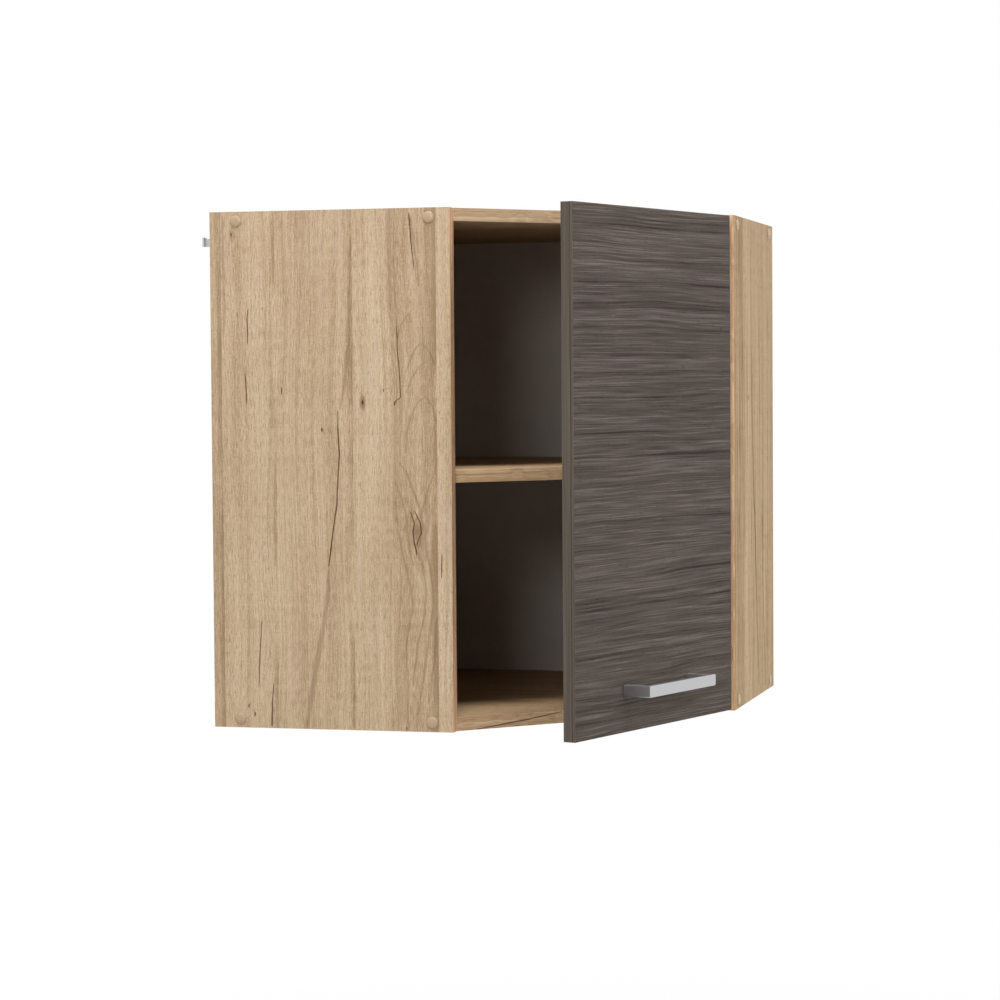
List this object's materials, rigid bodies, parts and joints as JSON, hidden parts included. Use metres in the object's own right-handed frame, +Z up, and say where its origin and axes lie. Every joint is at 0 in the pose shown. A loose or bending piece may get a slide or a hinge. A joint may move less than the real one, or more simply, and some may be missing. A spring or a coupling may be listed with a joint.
{
  "type": "corner wall cabinet",
  "caption": "Corner wall cabinet with a diagonal front, a hinged door with a bow handle, an inner shelf and adjustable wall hangers.",
  "frame": {"origin": "middle of the square footprint (wall planes to the outer faces of the side panels), on the cabinet's underside", "axes": "+Z up; +Y towards the back wall; -X towards the left wall; the diagonal front faces +X -Y"},
  "size_m": [0.6192, 0.699, 0.635],
  "materials": {
    "oak_decor": "light oak decor on particle board, matt, fine vertical grain, banded edges",
    "grey_wood_decor": "grey-brown wood decor on particle board, matt, horizontal grain, banded edges",
    "white_board": "white lacquered hardboard, matt",
    "satin_metal": "satin, fine bevelled edges",
    "steel": "nickel plated pressed steel, satin",
    "zinc": "zinc plated, satin",
    "oak_plastic": "moulded, oak coloured, slightly glossy",
    "white_plastic": "moulded, white, satin",
    "clear_rubber": "clear, soft"
  },
  "bodies": {
    "case": {"back_panel_left": "white_board", "back_panel_right": "white_board", "bottom_panel": "oak_decor", "case_screw_left_front_bottom": "steel", "case_screw_left_front_top": "steel", "case_screw_left_rear_bottom": "steel", "case_screw_left_rear_top": "steel", "case_screw_right_front_bottom": "steel", "case_screw_right_front_top": "steel", "case_screw_right_rear_bottom": "steel", "case_screw_right_rear_top": "steel", "corner_post": "white_board", "cover_cap_left_front_bottom": "oak_plastic", "cover_cap_left_front_top": "oak_plastic", "cover_cap_left_rear_bottom": "oak_plastic", "cover_cap_left_rear_top": "oak_plastic", "cover_cap_right_front_bottom": "oak_plastic", "cover_cap_right_front_top": "oak_plastic", "cover_cap_right_rear_bottom": "oak_plastic", "cover_cap_right_rear_top": "oak_plastic", "hanger_housing_left": "white_plastic", "hanger_housing_right": "white_plastic", "hinge_lower_arm": "steel", "hinge_lower_plate": "zinc", "hinge_upper_arm": "steel", "hinge_upper_plate": "zinc", "plate_screw_lower_high": "zinc", "plate_screw_lower_low": "zinc", "plate_screw_upper_high": "zinc", "plate_screw_upper_low": "zinc", "shelf_pin_left_front": "steel", "shelf_pin_left_rear": "steel", "shelf_pin_right_front": "steel", "shelf_pin_right_rear": "steel", "side_panel_left": "oak_decor", "side_panel_right": "oak_decor", "top_panel": "oak_decor"},
    "hinge_outer_links": {"hinge_lower_outer_link": "steel", "hinge_upper_outer_link": "steel"},
    "hinge_inner_links": {"hinge_lower_inner_link": "steel", "hinge_upper_inner_link": "steel"},
    "door": {"door_panel": "grey_wood_decor", "handle": "satin_metal", "handle_screw_free": "steel", "handle_screw_hinge": "steel", "door_bumper_bottom": "clear_rubber", "door_bumper_top": "clear_rubber", "hinge_lower_cup": "steel", "hinge_upper_cup": "steel", "cup_screw_lower_low": "zinc", "cup_screw_lower_high": "zinc", "cup_screw_upper_low": "zinc", "cup_screw_upper_high": "zinc"},
    "shelf": {"shelf": "oak_decor"},
    "claw_left": {"hanger_claw_left": "steel"},
    "claw_right": {"hanger_claw_right": "steel"},
    "adjuster_left": {"hanger_adjuster_left": "zinc"},
    "adjuster_right": {"hanger_adjuster_right": "zinc"}
  },
  "joints": [
    {"name": "outer_link_turn", "type": "hinge", "parent": "case", "child": "hinge_outer_links", "pos_m": [0.2793, 0.0083, 0.3178], "axis": [0, 0, 1], "range_deg": [-6.96, 17.66]},
    {"name": "door_swing", "type": "hinge", "parent": "hinge_outer_links", "child": "door", "pos_m": [0.2857, -0.02578, 0.3178], "axis": [0, 0, 1], "range_deg": [-19.89, 50.51]},
    {"name": "inner_link_turn", "type": "hinge", "parent": "case", "child": "hinge_inner_links", "pos_m": [0.2814, -0.0016, 0.3178], "axis": [0, 0, 1], "range_deg": [-12.76, 32.39]},
    {"name": "shelf_lift", "type": "slide", "parent": "case", "child": "shelf", "axis": [0, 0, 1], "range_m": [0, 0.03]},
    {"name": "adjuster_left_turn", "type": "hinge", "parent": "case", "child": "adjuster_left", "pos_m": [-0.25, -0.2752, 0.578], "axis": [1, 0, 0], "range_deg": [0, 1441]},
    {"name": "claw_left_draw", "type": "slide", "parent": "case", "child": "claw_left", "axis": [1, 0, 0], "range_m": [0, 0.012]},
    {"name": "adjuster_right_turn", "type": "hinge", "parent": "case", "child": "adjuster_right", "pos_m": [0.2752, 0.25, 0.578], "axis": [0, 1, 0], "range_deg": [0, 1441]},
    {"name": "claw_right_draw", "type": "slide", "parent": "case", "child": "claw_right", "axis": [0, -1, 0], "range_m": [0, 0.012]}
  ],
  "couplings": [
    {"joint": "outer_link_turn", "follows": "door_swing", "ratio": 0.34953},
    {"joint": "inner_link_turn", "follows": "door_swing", "ratio": 0.64103},
    {"joint": "adjuster_left_turn", "follows": "claw_left_draw", "rad_per_m": 2094.4},
    {"joint": "adjuster_right_turn", "follows": "claw_right_draw", "rad_per_m": 2094.4}
  ]
}
